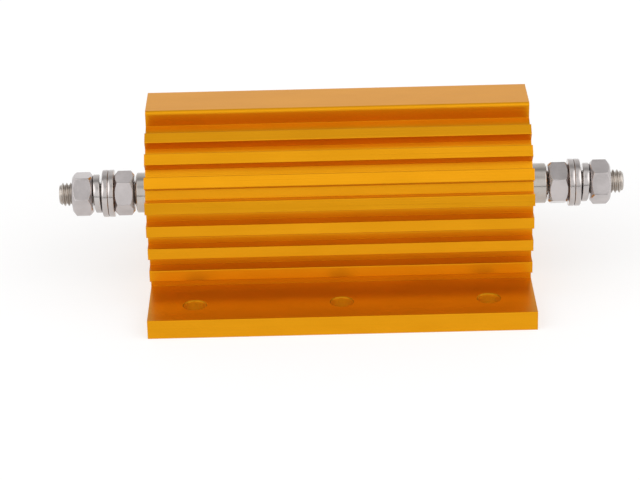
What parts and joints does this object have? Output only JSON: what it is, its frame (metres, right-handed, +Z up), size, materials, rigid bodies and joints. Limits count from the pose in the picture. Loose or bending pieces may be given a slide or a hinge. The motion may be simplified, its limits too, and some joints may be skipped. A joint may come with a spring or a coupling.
{
  "type": "aluminium housed power resistor",
  "caption": "Finned aluminium housing with bolt-down side flanges around a wirewound resistance element, with a threaded stud terminal, nuts and washers at each end.",
  "frame": {"origin": "centre of the housing's mounting face, in the plane that the flanges bolt down to", "axes": "+X along the housing and its two terminal studs, +Y across the mounting flanges, +Z up from the mounting face"},
  "size_m": [0.1444, 0.0754, 0.0483],
  "materials": {
    "anodised_housing": "satin",
    "filling": "matte",
    "white_ceramic": "matte",
    "resistance_alloy": "satin",
    "terminal_metal": "satin",
    "plated_nut": "satin",
    "plated_washer": "satin",
    "spring_steel": "satin"
  },
  "bodies": {
    "root": {"housing": "anodised_housing", "filling": "filling", "ceramic_core": "white_ceramic", "resistance_wire": "resistance_alloy", "core_cap_left": "terminal_metal", "core_cap_right": "terminal_metal", "end_bush_left": "white_ceramic", "end_bush_right": "white_ceramic", "terminal_stud_left": "terminal_metal", "terminal_stud_right": "terminal_metal", "inner_nut_left": "plated_nut", "inner_nut_right": "plated_nut", "inner_washer_left": "plated_washer", "inner_washer_right": "plated_washer", "outer_washer_left": "plated_washer", "outer_washer_right": "plated_washer", "spring_washer_left": "spring_steel", "spring_washer_right": "spring_steel", "outer_nut_left": "plated_nut", "outer_nut_right": "plated_nut"}
  },
  "joints": []
}
